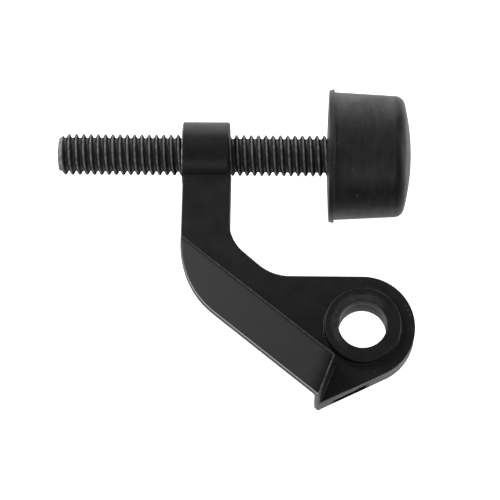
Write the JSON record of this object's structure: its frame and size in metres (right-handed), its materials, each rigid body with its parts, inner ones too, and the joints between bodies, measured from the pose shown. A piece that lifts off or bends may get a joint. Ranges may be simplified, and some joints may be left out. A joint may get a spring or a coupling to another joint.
{
  "type": "hinge pin door stop",
  "caption": "Cast arm that hangs on a door hinge's pin, with a sloping foot that bears on the door and an adjustable threaded stem ending in a round rubber bumper.",
  "frame": {"origin": "on the hinge pin bore's axis, on the flat back of the hub, which seats on the hinge", "axes": "+Z along the bore to the front of the hub with its raised ring, +X parallel to the stem towards the bumper, +Y from the bore towards the stem"},
  "size_m": [0.0684, 0.0628, 0.0258],
  "materials": {
    "black_coating": "semi-matte black coating on a zinc casting",
    "black_steel": "black oxide on steel, worn bright on the thread's crests",
    "black_rubber": "moulded black rubber, matt with faint handling marks"
  },
  "bodies": {
    "arm": {"cast_arm": "black_coating"},
    "bumper": {"rubber_bumper": "black_rubber"},
    "stem": {"threaded_stem": "black_steel"}
  },
  "joints": [
    {"name": "bumper_advance", "type": "slide", "parent": "arm", "child": "bumper", "axis": [1, 0, 0], "range_m": [-0.01834, 0.02258]},
    {"name": "stem_turn", "type": "hinge", "parent": "bumper", "child": "stem", "pos_m": [0, 0.03505, 0.0019], "axis": [1, 0, 0], "range_deg": [-4680, 5760]}
  ],
  "couplings": [
    {"joint": "stem_turn", "follows": "bumper_advance", "rad_per_m": 4452.7}
  ]
}
